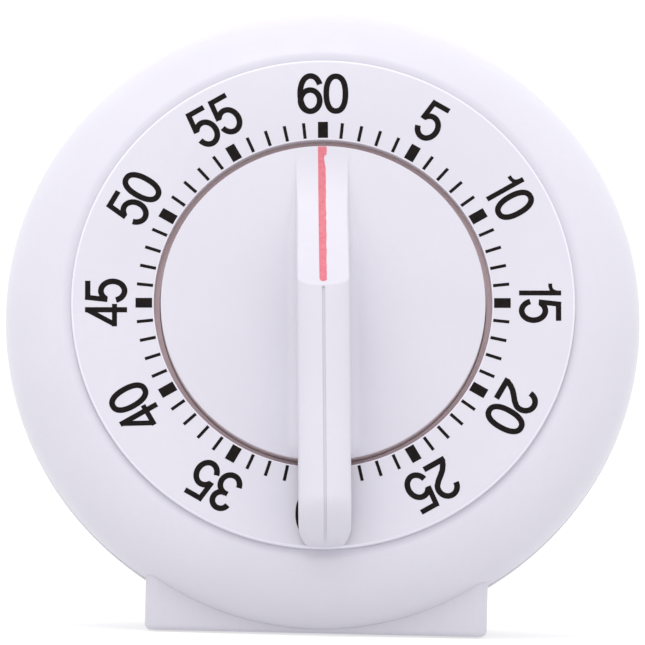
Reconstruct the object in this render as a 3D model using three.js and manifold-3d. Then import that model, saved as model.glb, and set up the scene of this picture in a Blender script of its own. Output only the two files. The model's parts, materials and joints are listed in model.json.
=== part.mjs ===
// A wind-up sixty-minute kitchen timer: a round moulded case that leans back on a flat foot,
// a raised dial plate, a turning knob with a long grip bar, and the clockwork and bell inside.
// Millimetres, +Z up, the dial faces -Y. The origin is the middle of the foot's flat underside.
//
// Everything but the foot's outline is drawn in the dial frame: x to the right of the dial,
// y towards the sixty mark and z along the knob's axis, towards whoever reads it.
import * as THREE from "three";
import { mergeVertices } from "three/addons/utils/BufferGeometryUtils.js";
import Module from "manifold-3d";

const wasm = await Module();
wasm.setup();
const { Manifold, Mesh: SolidMesh } = wasm;

// ---------------------------------------------------------------- driving dimensions

const TURN = 2 * Math.PI;
const DEGREE = Math.PI / 180;
const LEAN = 15 * DEGREE; // how far the dial leans back
const AXIS_Y = -7.5; // where the knob's axis crosses the case's widest circle
const AXIS_Z = 37.05;

const CASE_R = 38; // widest radius of the case, at z 0
const WALL = 2;
const SHOULDER = { centre: 26, radial: 12, axial: 9 }; // the ellipse that rounds the front
const EDGE_R = 15; // rounds the widest circle into the tapered back
const SEAM = -0.3; // where the front and rear housings meet
const BACK = -24; // the flat back of the case
const BACK_EDGE_R = 2.5;
const GAP = 0.3; // between moulded parts that touch
const ROUND = 40; // sides of the big turned shells

const FACE = 9; // front of the dial plate
const DIAL = { inner: 20.3, outer: 30.05, thick: 1.3, edge: 0.4, peg: 25.5 };
const SEAT = FACE - DIAL.thick - GAP; // the ledge that the dial plate sits on
const WELL = { radius: 19.75, wall: 1.5, top: 4.4, bottom: 3, hole: 4.6 };

const KNOB = { radius: 19.38, top: 9.1, skirt: 6, wall: 1.5, edge: 0.4 };
const GRIP = { width: 6.1, top: 18.2, end: -30.1, under: 9.8, nose: 3, corner: 2.2 };
const HUB_R = 4.1;
const HUB_TOP = 12.6;
const GROOVE = { width: 0.36, deep: 0.25 };

const FOOT = { width: 40.8, depth: 36, floor: 1.8, wall: 1.8, corner: 1.6, notch: 12 };

const BOSS = { at: 28.6, radius: 2.8, angles: [90, 210, 330] };
const CASE_SCREW = { head: 2.1, shank: 1.1, seat: -13, tip: 2 };
const PLATE_SCREW = { at: 14, angles: [30, 150, 270], head: 1.9, shank: 1 };

const PLATE = { radius: 24.9, frontTop: 2.6, frontBottom: 1.6, backTop: -12.4, backBottom: -13.4 };
const PILLAR = { at: 22.9, radius: 1.3, angles: [45, 130, 222, 300] };
const ARBOR_R = 2; // the main arbor
const PIVOT_R = 0.5; // every small arbor
const PIVOT_HOLE = 0.62;

// The wheels, from the main arbor to the escapement, and the strike train.
const GREAT = { teeth: 60, module: 0.5, bottom: -3, top: -2 };
const SECOND = { leaves: 8, teeth: 56, module: 0.28, bottom: -5.6, top: -4.8 };
const THIRD = { leaves: 7, teeth: 48, module: 0.28, bottom: -8.4, top: -7.6 };
const ESCAPE = { leaves: 6, teeth: 15, radius: 4.5, bottom: -6.2, top: -5.6 };
const BARREL = { teeth: 72, module: 0.42, drum: 8.4, skin: 0.6, bottom: -11.6, top: -10.8 };
const STRIKE = { leaves: 8, teeth: 16, radius: 5, bottom: -8.6, top: -7.8 };
const DRUM_TOP = -4.4;

const pitchRadius = (teeth, module) => (teeth * module) / 2;
const reach = (a, b, module) => pitchRadius(a + b, module);
const polar = (radius, degrees) => [
  radius * Math.cos(degrees * DEGREE),
  radius * Math.sin(degrees * DEGREE),
];
// The angle that two arbors at these radii subtend when they stand a distance apart.
const apart = (ra, rb, distance) =>
  Math.acos((ra * ra + rb * rb - distance * distance) / (2 * ra * rb)) / DEGREE;

// Arbor positions: each is placed round the main arbor so that its wheel meshes with the next.
const SECOND_R = reach(GREAT.teeth, SECOND.leaves, GREAT.module);
const THIRD_R = 16.8;
const ESCAPE_R = 16.5;
const secondAngle = 165;
const thirdAngle = secondAngle
  + apart(SECOND_R, THIRD_R, reach(SECOND.teeth, THIRD.leaves, SECOND.module));
const escapeAngle = thirdAngle
  + apart(THIRD_R, ESCAPE_R, reach(THIRD.teeth, ESCAPE.leaves, THIRD.module));
const palletAngle = escapeAngle + 22.6;
const AT = {
  second: polar(SECOND_R, secondAngle),
  third: polar(THIRD_R, thirdAngle),
  escape: polar(ESCAPE_R, escapeAngle),
  pallet: polar(16.5, palletAngle),
  balance: polar(17, 273.8),
  strike: polar(reach(BARREL.teeth, STRIKE.leaves, BARREL.module), 20),
  hammer: polar(17.2, -10),
  release: polar(17, -40),
};

const CAM = { radius: 9, notch: -75, bottom: 0, top: 0.8 };
const STOP = { at: 8.6, size: 0.4, nub: 100, apart: 3 };
const RATCHET = { teeth: 12, radius: 4.6, bottom: -1.6, top: -0.8 };
const CLICK = { at: 8, angle: 60 };

const BELL = { radius: 22, thick: 0.8, rim: -14.8, base: -20.4, round: 3 };
const HAMMER = { bottom: -16.4, top: -15.4, head: 1.5 };

// ---------------------------------------------------------------- materials

const finish = (color, roughness, metalness) =>
  new THREE.MeshStandardMaterial({ color, roughness, metalness });
const WHITE = finish(0xebe9f4, 0.42, 0);
const BRASS = finish(0xc9a24d, 0.32, 1);
const STEEL = finish(0xb4b6ba, 0.35, 1);
const SPRING = finish(0x5e6670, 0.4, 1);
const BELL_METAL = finish(0xd8d9dc, 0.22, 1);

// ---------------------------------------------------------------- solids

// A closed three.js geometry as a solid that can be joined and cut.
function solidOf(geometry) {
  const bare = geometry.clone();
  bare.deleteAttribute("normal");
  bare.deleteAttribute("uv");
  const merged = mergeVertices(bare, 1e-4);
  return new Manifold(
    new SolidMesh({
      numProp: 3,
      vertProperties: merged.attributes.position.array,
      triVerts: new Uint32Array(merged.index.array),
    }),
  );
}

function geometryOf(solid) {
  const mesh = solid.getMesh();
  const geometry = new THREE.BufferGeometry();
  geometry.setAttribute("position", new THREE.BufferAttribute(mesh.vertProperties, 3));
  geometry.setIndex(new THREE.BufferAttribute(mesh.triVerts, 1));
  return geometry;
}

const join = (...solids) => solids.reduce((a, b) => a.add(b));
const cut = (solid, ...tools) => tools.reduce((a, b) => a.subtract(b), solid);

// A round rod or disc along z.
function rod(radius, bottom, top, sides = 24, [x, y] = [0, 0]) {
  const geometry = new THREE.CylinderGeometry(radius, radius, top - bottom, sides);
  return solidOf(geometry.rotateX(Math.PI / 2).translate(x, y, (bottom + top) / 2));
}

function block(width, depth, bottom, top, [x, y] = [0, 0], turn = 0) {
  const geometry = new THREE.BoxGeometry(width, depth, top - bottom);
  return solidOf(geometry.rotateZ(turn).translate(x, y, (bottom + top) / 2));
}

// A profile of [radius, z] points turned round the z axis.
function turned(profile, sides = ROUND) {
  const closed = profile[0][0] > 1e-6 || profile.at(-1)[0] > 1e-6;
  const points = closed ? [...profile, profile[0]] : profile;
  const area = points.slice(1).reduce(
    (sum, [r, z], i) => sum + points[i][0] * z - r * points[i][1],
    0,
  );
  const ordered = area > 0 ? points : [...points].reverse();
  const geometry = new THREE.LatheGeometry(
    ordered.map(([r, z]) => new THREE.Vector2(r, z)),
    sides,
  );
  return solidOf(geometry.rotateX(Math.PI / 2));
}

// A flat outline of [x, y] points, with holes, pulled up from bottom to top.
function prism(outline, bottom, top, holes = []) {
  const shape = new THREE.Shape(outline.map(([x, y]) => new THREE.Vector2(x, y)));
  for (const hole of holes) {
    shape.holes.push(new THREE.Path(hole.map(([x, y]) => new THREE.Vector2(x, y))));
  }
  const geometry = new THREE.ExtrudeGeometry(shape, {
    depth: top - bottom,
    bevelEnabled: false,
    steps: 1,
  });
  return solidOf(geometry.translate(0, 0, bottom));
}

// An arc of points about a centre, from one angle to another in degrees.
function arc([cx, cy], radius, from, to, steps, radiusB = radius) {
  return Array.from({ length: steps + 1 }, (_, i) => {
    const angle = (from + ((to - from) * i) / steps) * DEGREE;
    return [cx + radius * Math.cos(angle), cy + radiusB * Math.sin(angle)];
  });
}

const circle = (radius, sides, centre = [0, 0]) =>
  arc(centre, radius, 0, 360 - 360 / sides, sides - 1);

// A flat link of one width that follows a line of [x, y] points, with round joints and ends.
function link(points, width, bottom, top, sides = 8) {
  const knuckles = points.map((point) => rod(width / 2, bottom, top, sides, point));
  const spans = points.slice(1).map(([x, y], i) => {
    const [px, py] = points[i];
    const length = Math.hypot(x - px, y - py);
    const middle = [(x + px) / 2, (y + py) / 2];
    return block(length, width, bottom, top, middle, Math.atan2(y - py, x - px));
  });
  return join(...knuckles, ...spans);
}

// A flat strip wound in a spiral, as wide along z as top minus bottom.
function spiral(inner, outer, turns, thickness, bottom, top, stepsPerTurn) {
  const steps = Math.round(turns * stepsPerTurn);
  const side = (offset) =>
    Array.from({ length: steps + 1 }, (_, i) =>
      polar(inner + ((outer - inner) * i) / steps + offset, (360 * turns * i) / steps));
  return prism([...side(thickness / 2), ...side(-thickness / 2).reverse()], bottom, top);
}

// ---------------------------------------------------------------- wheels

// One outline for wheels and pinions. Widths are shares of the tooth pitch.
function gearOutline(teeth, module, { addendum = 0.85, dedendum = 1.2, root = 0.27, tip = 0 } = {}) {
  const radius = pitchRadius(teeth, module);
  const low = radius - dedendum * module;
  const high = radius + addendum * module;
  const pitch = 360 / teeth;
  return Array.from({ length: teeth }, (_, i) => [
    polar(low, (i - root) * pitch),
    polar(high, (i - tip) * pitch),
    ...(tip > 0 ? [polar(high, (i + tip) * pitch)] : []),
    polar(low, (i + root) * pitch),
  ]).flat();
}

const LEAF = { addendum: 0.7, dedendum: 1.15, root: 0.2, tip: 0.1 };

// The windows between a wheel's spokes.
function windows(inner, outer, spokes, spokeWidth, steps = 5) {
  return Array.from({ length: spokes }, (_, i) => {
    const from = (360 * i) / spokes;
    const to = (360 * (i + 1)) / spokes;
    const half = (radius) => Math.asin(spokeWidth / 2 / radius) / DEGREE;
    return [
      ...arc([0, 0], outer, from + half(outer), to - half(outer), steps),
      ...arc([0, 0], inner, to - half(inner), from + half(inner), steps - 2),
    ];
  });
}

// The turn, in radians, that puts a gear in mesh with one at phase, in a direction in degrees.
function meshed(phase, teeth, ownTeeth, direction) {
  const share = ((direction * DEGREE - phase) * teeth) / TURN;
  return direction * DEGREE + Math.PI - ((0.5 - share) * TURN) / ownTeeth;
}

const direction = ([ax, ay], [bx, by]) => Math.atan2(by - ay, bx - ax) / DEGREE;

// A wheel of thin teeth that lean one way, for the escapement, the ratchet and the strike.
function sawOutline(teeth, radius, depth, lean) {
  const pitch = 360 / teeth;
  return Array.from({ length: teeth }, (_, i) => [
    polar(radius - depth, i * pitch),
    polar(radius, (i + lean) * pitch),
    polar(radius, (i + lean + 0.12) * pitch),
  ]).flat();
}

// A small arbor with a pinion cut on it. Both pivots end inside the plates.
function pinionArbor(leaves, module, bottom, top, foot = PLATE.backBottom + 0.1) {
  return join(
    rod(PIVOT_R, foot, PLATE.frontTop - 0.1, 10),
    prism(gearOutline(leaves, module, LEAF), bottom, top),
  );
}

// A flat toothed wheel with a bore and spokes.
function spokedWheel({ teeth, module, bottom, top }, hub, rim, spokes) {
  return prism(gearOutline(teeth, module), bottom, top, [
    circle(PIVOT_HOLE, 10),
    ...windows(hub, rim, spokes, 1.1, 4),
  ]);
}

// ---------------------------------------------------------------- case

const ellipseZ = (r, { centre, radial, axial }) =>
  axial * Math.sqrt(1 - ((r - centre) / radial) ** 2);

// The outside of the case from the lip round the dial plate to the seam.
function frontSkin() {
  const lip = DIAL.outer + 0.35;
  const start = Math.acos((lip + 0.9 - SHOULDER.centre) / SHOULDER.radial) / DEGREE;
  return [
    [lip, FACE - 1.15],
    ...arc([SHOULDER.centre, 0], SHOULDER.radial, start, 0, 8, SHOULDER.axial),
  ];
}

// The outside of the rear housing, tapered so that its lowest line is level with the table.
function rearSkin() {
  const seamAngle = Math.asin((SEAM - 0.2) / EDGE_R) / DEGREE;
  const bulge = arc([CASE_R - EDGE_R, 0], EDGE_R, seamAngle, -LEAN / DEGREE, 3);
  const [startR, startZ] = bulge.at(-1);
  const slope = Math.tan(LEAN);
  const radiusAt = (z) => startR - (startZ - z) * slope;
  const cornerZ = BACK + BACK_EDGE_R;
  const centre = [radiusAt(cornerZ) - BACK_EDGE_R, cornerZ];
  return [...bulge, ...arc(centre, BACK_EDGE_R, -LEAN / DEGREE, -90, 4), [0, BACK]];
}

function frontHousing() {
  const innerEllipse = {
    centre: SHOULDER.centre,
    radial: SHOULDER.radial - WALL,
    axial: SHOULDER.axial - WALL,
  };
  const ceiling = SEAT - WALL;
  const turnIn = Math.asin(ceiling / innerEllipse.axial) / DEGREE;
  const inside = arc([innerEllipse.centre, 0], innerEllipse.radial, 0, turnIn, 4, innerEllipse.axial);
  const seamTop = SEAM + 0.1;
  const shell = turned([
    [WELL.hole, WELL.top],
    [WELL.radius, WELL.top],
    [WELL.radius, SEAT],
    [DIAL.outer + 0.35, SEAT],
    ...frontSkin(),
    [CASE_R, seamTop],
    [CASE_R - WALL, seamTop],
    ...inside,
    [WELL.radius + WELL.wall, ceiling],
    [WELL.radius + WELL.wall, WELL.bottom],
    [WELL.hole, WELL.bottom],
  ]);
  const bosses = BOSS.angles.map((a) =>
    rod(BOSS.radius, SEAM - 1.1, ceiling + 0.6, 14, polar(BOSS.at, a)));
  const bossHoles = BOSS.angles.map((a) =>
    rod(CASE_SCREW.shank + 0.15, SEAM - 2, CASE_SCREW.tip + 0.6, 10, polar(BOSS.at, a)));
  const pegHoles = [30, 150, 270].map((a) =>
    rod(1.25, ceiling - 1, SEAT + 1, 10, polar(DIAL.peg, a)));
  const screwHoles = PLATE_SCREW.angles.map((a) =>
    rod(PLATE_SCREW.shank + 0.25, WELL.bottom - 1, WELL.top + 1, 10, polar(PLATE_SCREW.at, a)));
  return cut(join(shell, ...bosses), ...bossHoles, ...pegHoles, ...screwHoles);
}

// The dial frame's place in the world, which the level foot is drawn in.
const dial = new THREE.Group();
dial.position.set(0, AXIS_Y, AXIS_Z);
dial.rotation.x = Math.PI / 2 - LEAN;
dial.updateMatrix();

// The foot's side view, in world y and z, and a block of its plan, both taken in by an inset.
function footSolid(inset) {
  const half = FOOT.depth / 2;
  const low = inset > 0 ? FOOT.floor : 0;
  const width = FOOT.width - 2 * inset;
  const front = -half + inset;
  const back = half - inset;
  const side = [
    [front, low],
    [back, low],
    [back, 5 - inset * 0.5],
    [half - 8 - inset, 17 - inset],
    [front, 17 - inset],
  ];
  const across = new THREE.Shape(side.map(([y, z]) => new THREE.Vector2(y, z)));
  const profile = new THREE.ExtrudeGeometry(across, { depth: width, bevelEnabled: false, steps: 1 });
  const toWorld = new THREE.Matrix4().makeBasis(
    new THREE.Vector3(0, 1, 0),
    new THREE.Vector3(0, 0, 1),
    new THREE.Vector3(1, 0, 0),
  );
  profile.applyMatrix4(toWorld).translate(-width / 2, 0, 0);
  const r = Math.max(FOOT.corner - inset, 0.4);
  const w = width / 2 - r;
  const d = (back - front) / 2 - r;
  const plan = prism(
    [[w, d, 0], [-w, d, 90], [-w, -d, 180], [w, -d, 270]].flatMap(([x, y, a]) =>
      arc([x, y], r, a, a + 90, 3)),
    -1,
    40,
  );
  const inDial = new THREE.Matrix4().copy(dial.matrix).invert();
  return solidOf(geometryOf(solidOf(profile).intersect(plan)).applyMatrix4(inDial));
}

// The inside of the rear housing, from the seam to the floor, two millimetres under its skin.
function rearInside() {
  const bulge = arc([CASE_R - EDGE_R, 0], EDGE_R - WALL, 0, -LEAN / DEGREE, 2);
  const [startR, startZ] = bulge.at(-1);
  const radiusAt = (z) => startR - (startZ - z) * Math.tan(LEAN);
  const floor = BACK + WALL;
  return [...bulge, [radiusAt(floor + 1.5), floor + 1.5], [radiusAt(floor) - 1.2, floor]];
}

// What the front housing fills, a little larger, so that the foot stands clear of it.
function frontRoom() {
  const { centre, radial, axial } = SHOULDER;
  const outside = arc([centre, 0], radial + GAP, 0, 60, 7, axial + GAP);
  const low = SEAM - 0.2;
  return turned([[0, low], [CASE_R + GAP, low], ...outside, [0, outside.at(-1)[1]]]);
}

// Everything under the foot's flat, and the notch where the case all but touches the table.
function underFoot() {
  const level = block(90, 90, -20, 0);
  const notch = block(FOOT.notch, 8, -1, 1, [0, -FOOT.depth / 2]);
  const inDial = new THREE.Matrix4().copy(dial.matrix).invert();
  return solidOf(geometryOf(join(level, notch)).applyMatrix4(inDial));
}

function rearHousing() {
  const floor = BACK + WALL;
  const outer = turned([[0, SEAM - 0.2], ...rearSkin()]);
  const inner = turned([[0, 1], [CASE_R - WALL, 1], ...rearInside(), [0, floor]]);
  const lipR = CASE_R - WALL - 0.55;
  const lip = turned([
    [CASE_R - WALL + 0.1, SEAM - 0.6],
    [lipR, SEAM - 0.2],
    [lipR, SEAM + 1.8],
    [lipR - 1.4, SEAM + 1.8],
    [lipR - 1.4, SEAM - 1.6],
    [CASE_R - WALL + 0.1, SEAM - 3.4],
  ]);
  const tubes = BOSS.angles.map((a) =>
    join(
      rod(3.3, floor - 0.5, CASE_SCREW.seat + 2.4, 16, polar(BOSS.at, a)),
      rod(BOSS.radius, floor - 0.5, SEAM - 1.1 - GAP, 14, polar(BOSS.at, a)),
    ));
  const bores = BOSS.angles.map((a) =>
    join(
      rod(2.5, BACK - 1, CASE_SCREW.seat, 14, polar(BOSS.at, a)),
      rod(CASE_SCREW.shank + 0.3, BACK - 1, SEAM, 10, polar(BOSS.at, a)),
    ));
  const slots = [-12, -6, 0, 6, 12].map((y) => {
    const half = Math.sqrt(17 * 17 - y * y);
    return link([[-half, y], [half, y]], 1.8, BACK - 1, floor + 1, 8);
  });
  const shell = cut(join(outer, footSolid(0)), inner, footSolid(FOOT.wall), frontRoom());
  const fitted = join(shell, cut(lip, footSolid(FOOT.wall)), ...tubes);
  return cut(fitted, ...bores, ...slots, underFoot());
}

function dialPlate() {
  const low = FACE - DIAL.thick;
  const ring = turned([
    [DIAL.inner, low],
    [DIAL.outer, low],
    [DIAL.outer, FACE - DIAL.edge],
    [DIAL.outer - DIAL.edge * 0.3, FACE - DIAL.edge * 0.3],
    [DIAL.outer - DIAL.edge, FACE],
    [DIAL.inner, FACE],
  ]);
  const pegs = [30, 150, 270].map((a) => rod(1, low - 2, low + 0.2, 12, polar(DIAL.peg, a)));
  return join(ring, ...pegs);
}

// A screw along z with its head at the back end and a cross recess cut in it.
function caseScrew() {
  const head = CASE_SCREW.seat - 0.15;
  const recess = [0, Math.PI / 2].map((turn) =>
    block(2.4, 0.6, head - 2, head - 0.7, [0, 0], turn));
  return cut(
    join(
      rod(CASE_SCREW.head, head - 1.5, head, 16),
      rod(CASE_SCREW.shank, head - 0.2, CASE_SCREW.tip, 12),
    ),
    ...recess,
  );
}

// ---------------------------------------------------------------- knob

// The grip bar's side view: a hollow ramp up from the rim, a level top and a rounded nose.
function gripProfile(inset) {
  const rim = KNOB.radius - 0.2;
  const rise = GRIP.top - KNOB.top;
  const rampR = (rim * rim + rise * rise) / (2 * rise);
  const sweep = Math.asin(rim / rampR) / DEGREE;
  const ramp = arc([rim, KNOB.top + rampR], rampR + inset, -90, -90 - sweep, 9);
  const top = GRIP.top - inset;
  const end = GRIP.end + inset;
  const nose = arc([GRIP.end + GRIP.nose, GRIP.top - GRIP.nose], GRIP.nose - inset, 90, 180, 5);
  const low = inset > 0 ? KNOB.skirt - 1 : KNOB.top - 1;
  return [
    ...ramp.filter(([y, z]) => z <= top && y > inset * 0.4),
    ...(inset > 0 ? [[inset * 0.8, top]] : [[0, top]]),
    ...nose,
    [end, inset > 0 ? low : GRIP.under],
    ...(inset > 0 ? [] : [[-KNOB.radius + 0.5, GRIP.under], [-KNOB.radius + 0.5, low]]),
    [inset > 0 ? ramp[0][0] - 6 : ramp[0][0], low],
  ];
}

function gripSolid(inset) {
  const width = GRIP.width - 2 * inset;
  const side = new THREE.Shape(gripProfile(inset).map(([y, z]) => new THREE.Vector2(y, z)));
  const bar = new THREE.ExtrudeGeometry(side, { depth: width, bevelEnabled: false, steps: 1 });
  const toDial = new THREE.Matrix4().makeBasis(
    new THREE.Vector3(0, 1, 0),
    new THREE.Vector3(0, 0, 1),
    new THREE.Vector3(1, 0, 0),
  );
  bar.applyMatrix4(toDial).translate(-width / 2, 0, 0);
  const r = GRIP.corner - inset * 0.8;
  const w = width / 2 - r;
  const end = GRIP.end + inset + r;
  const plan = prism(
    [...arc([-w, end], r, 180, 270, 4), ...arc([w, end], r, 270, 360, 4), [width / 2, 30], [-width / 2, 30]],
    0,
    30,
  );
  return solidOf(bar).intersect(plan);
}

// A D-shaped prism: a round with a flat at y = flat.
function dShape(radius, flat, bottom, top) {
  const from = 180 - Math.asin(flat / radius) / DEGREE;
  const to = 360 + Math.asin(flat / radius) / DEGREE;
  return prism(arc([0, 0], radius, from, to, 18), bottom, top);
}

function knob() {
  const ceiling = KNOB.top - KNOB.wall;
  const disc = turned([
    [0, ceiling],
    [KNOB.radius - KNOB.wall, ceiling],
    [KNOB.radius - KNOB.wall, KNOB.skirt],
    [KNOB.radius, KNOB.skirt],
    [KNOB.radius, KNOB.top - KNOB.edge],
    [KNOB.radius - KNOB.edge * 0.3, KNOB.top - KNOB.edge * 0.3],
    [KNOB.radius - KNOB.edge, KNOB.top],
    [0, KNOB.top],
  ]);
  const hollow = gripSolid(1.4);
  const hub = join(
    rod(HUB_R, WELL.bottom + 0.4, ceiling + 0.5, 24),
    rod(HUB_R, ceiling, HUB_TOP, 24).intersect(block(GRIP.width - 1, 20, ceiling, HUB_TOP)),
  );
  const groove = block(
    GROOVE.width,
    -GRIP.end,
    GRIP.top - GROOVE.deep,
    GRIP.top + 1,
    [0, GRIP.end / 2],
  );
  const shell = cut(join(disc, gripSolid(0)), hollow);
  return cut(join(shell, hub), dShape(ARBOR_R + 0.12, 1.42, 0, HUB_TOP + 0.2), groove);
}

// ---------------------------------------------------------------- movement frame

const holesAt = (points, radius, bottom, top, sides = 10) =>
  points.map((point) => rod(radius, bottom - 1, top + 1, sides, point));

const SMALL_PIVOTS = [AT.second, AT.third, AT.escape, AT.pallet, AT.balance, AT.strike];

function frontPlate() {
  const { frontBottom: low, frontTop: high } = PLATE;
  return cut(
    rod(PLATE.radius, low, high, 40),
    rod(ARBOR_R + 0.15, low - 1, high + 1, 20),
    ...holesAt([...SMALL_PIVOTS, AT.hammer], PIVOT_HOLE, low, high, 8),
    ...holesAt(PLATE_SCREW.angles.map((a) => polar(PLATE_SCREW.at, a)), PLATE_SCREW.shank + 0.12, low, high),
    ...holesAt(PILLAR.angles.map((a) => polar(PILLAR.at, a)), 0.95, low, high),
    ...holesAt([AT.release], 0.72, low, high),
    ...holesAt([STUD_AT], 0.45, low, high, 8),
    ...holesAt([STOP_PIN_AT], STOP.size / 2 + 0.08, low, high, 8),
  );
}

function backPlate() {
  const { backBottom: low, backTop: high } = PLATE;
  const view = windows(9, 13, 3, 9, 6).map((window) => prism(window, low - 1, high + 1));
  return cut(
    rod(PLATE.radius, low, high, 40),
    rod(1.6 + 0.15, low - 1, high + 1, 20),
    ...holesAt(SMALL_PIVOTS, PIVOT_HOLE, low, high, 8),
    ...holesAt([AT.hammer], 0.9, low, high, 10),
    ...holesAt(PILLAR.angles.map((a) => polar(PILLAR.at, a)), 0.75, low, high),
    ...holesAt([30, 150, 270].map((a) => polar(5.6, a)), 0.62, low, high, 8),
    ...view,
  );
}

// A pillar with a riveted spigot in the front plate and a screw hole at the back.
function pillar() {
  return cut(
    join(
      rod(PILLAR.radius, PLATE.backTop + 0.1, PLATE.frontBottom - 0.1, 14),
      rod(0.8, PLATE.frontBottom - 0.5, PLATE.frontTop + 0.1, 12),
    ),
    rod(0.65, PLATE.backTop - 1, PLATE.backTop + 3.5, 10),
  );
}

function pillarScrew() {
  const seat = PLATE.backBottom - 0.1;
  return cut(
    join(rod(1.3, seat - 0.8, seat, 14), rod(0.55, seat - 0.1, PLATE.backTop + 3, 10)),
    block(3, 0.4, seat - 2, seat - 0.45),
  );
}

function movementScrew() {
  const seat = WELL.top + 0.1;
  return cut(
    join(
      rod(PLATE_SCREW.head, seat, seat + 1.1, 16),
      rod(PLATE_SCREW.shank, PLATE.frontBottom - 0.4, seat + 0.2, 12),
    ),
    block(5, 0.5, seat + 0.7, seat + 3),
  );
}

// ---------------------------------------------------------------- main arbor and its wheels

function mainArbor() {
  const core = 2.7;
  const shaft = turned(
    [
      [0, PLATE.backBottom + 0.1],
      [1.6, PLATE.backBottom + 0.1],
      [1.6, -10.5],
      [core, -10.5],
      [core, DRUM_TOP],
      [ARBOR_R, DRUM_TOP],
      [ARBOR_R, HUB_TOP - 0.8],
      [ARBOR_R - 0.5, HUB_TOP - 0.3],
      [0, HUB_TOP - 0.3],
    ],
    24,
  );
  return cut(shaft, block(6, 2, WELL.bottom, 14, [0, 1.3 + 1]));
}

// The cam that holds the strike until the knob is back at zero, with the stop nub on its face.
function zeroCam() {
  const half = 9;
  const rim = [
    ...arc([0, 0], CAM.radius, CAM.notch + half, CAM.notch + 360 - half, 36),
    ...arc([0, 0], CAM.radius - 1.5, CAM.notch - half + 3, CAM.notch + half - 3, 2),
  ];
  return join(
    prism(rim, CAM.bottom, CAM.top, [circle(ARBOR_R + 0.15, 24)]),
    block(0.9, STOP.size, CAM.top - 0.2, CAM.top + 0.5, polar(STOP.at - 0.25, STOP.nub), STOP.nub * DEGREE),
  );
}

const STOP_PIN_AT = polar(STOP.at, STOP.nub + STOP.apart);
const stopPin = () =>
  rod(STOP.size / 2, CAM.top + 0.15, PLATE.frontTop - 0.1, 10);

const ratchetWheel = () =>
  prism(sawOutline(RATCHET.teeth, RATCHET.radius, 0.9, 0.8), RATCHET.bottom, RATCHET.top, [
    circle(ARBOR_R + 0.15, 24),
  ]);

function greatWheel() {
  const wheel = prism(gearOutline(GREAT.teeth, GREAT.module), GREAT.bottom, GREAT.top, [
    circle(ARBOR_R + 0.15, 24),
    ...windows(10.2, 13, 5, 2, 5),
  ]);
  const clickHole = rod(0.7, GREAT.bottom - 1, GREAT.top + 1, 12, polar(CLICK.at, CLICK.angle));
  const springHole = rod(0.42, GREAT.bottom - 1, GREAT.top + 1, 8, polar(8.6, 118));
  return cut(wheel, clickHole, springHole);
}

// The pawl, drawn about its own pivot. It lies along the ratchet with its nose just outside.
function click() {
  const [px, py] = polar(CLICK.at, CLICK.angle);
  const [tx, ty] = polar(RATCHET.radius + 0.55, CLICK.angle + 47);
  const nose = [tx - px, ty - py];
  const body = link([[0, 0], nose], 0.75, RATCHET.bottom, RATCHET.top);
  const boss = rod(1.35, RATCHET.bottom, RATCHET.top, 16);
  return cut(join(boss, body), rod(0.72, RATCHET.bottom - 1, RATCHET.top + 1, 12));
}

const clickStud = () =>
  join(
    rod(0.58, GREAT.bottom - 0.1, RATCHET.top + 0.2, 12),
    rod(1.2, RATCHET.top + 0.1, RATCHET.top + 0.5, 14),
  );

// A wire leaf that presses the click home, standing on a pin in the great wheel.
function clickSpring() {
  const start = polar(8.6, 118);
  return join(
    rod(0.34, GREAT.bottom, RATCHET.top, 8, start),
    link([start, polar(8.4, 102), polar(6.8, 88)], 0.3, RATCHET.bottom + 0.2, RATCHET.top),
  );
}

// The spring drum: a toothed flange at the back with a wall round the mainspring.
function springBarrel() {
  const flange = prism(gearOutline(BARREL.teeth, BARREL.module), BARREL.bottom, BARREL.top, [
    circle(1.6 + 0.15, 20),
  ]);
  const wall = turned(
    [
      [BARREL.drum - BARREL.skin, BARREL.top - 0.2],
      [BARREL.drum, BARREL.top - 0.2],
      [BARREL.drum, DRUM_TOP],
      [BARREL.drum - BARREL.skin, DRUM_TOP],
    ],
    24,
  );
  return join(flange, wall);
}

const barrelCover = () =>
  prism(circle(BARREL.drum, 32), DRUM_TOP + 0.15, DRUM_TOP + 0.75, [circle(ARBOR_R + 0.15, 24)]);

const mainspring = () =>
  spiral(3.1, 7.35, 5, 0.3, BARREL.top + 0.3, DRUM_TOP - 0.4, 16);

// ---------------------------------------------------------------- escapement

const escapeWheel = () =>
  prism(sawOutline(ESCAPE.teeth, ESCAPE.radius, 1.1, 0.42), ESCAPE.bottom, ESCAPE.top, [
    circle(PIVOT_HOLE, 10),
  ]);

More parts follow.
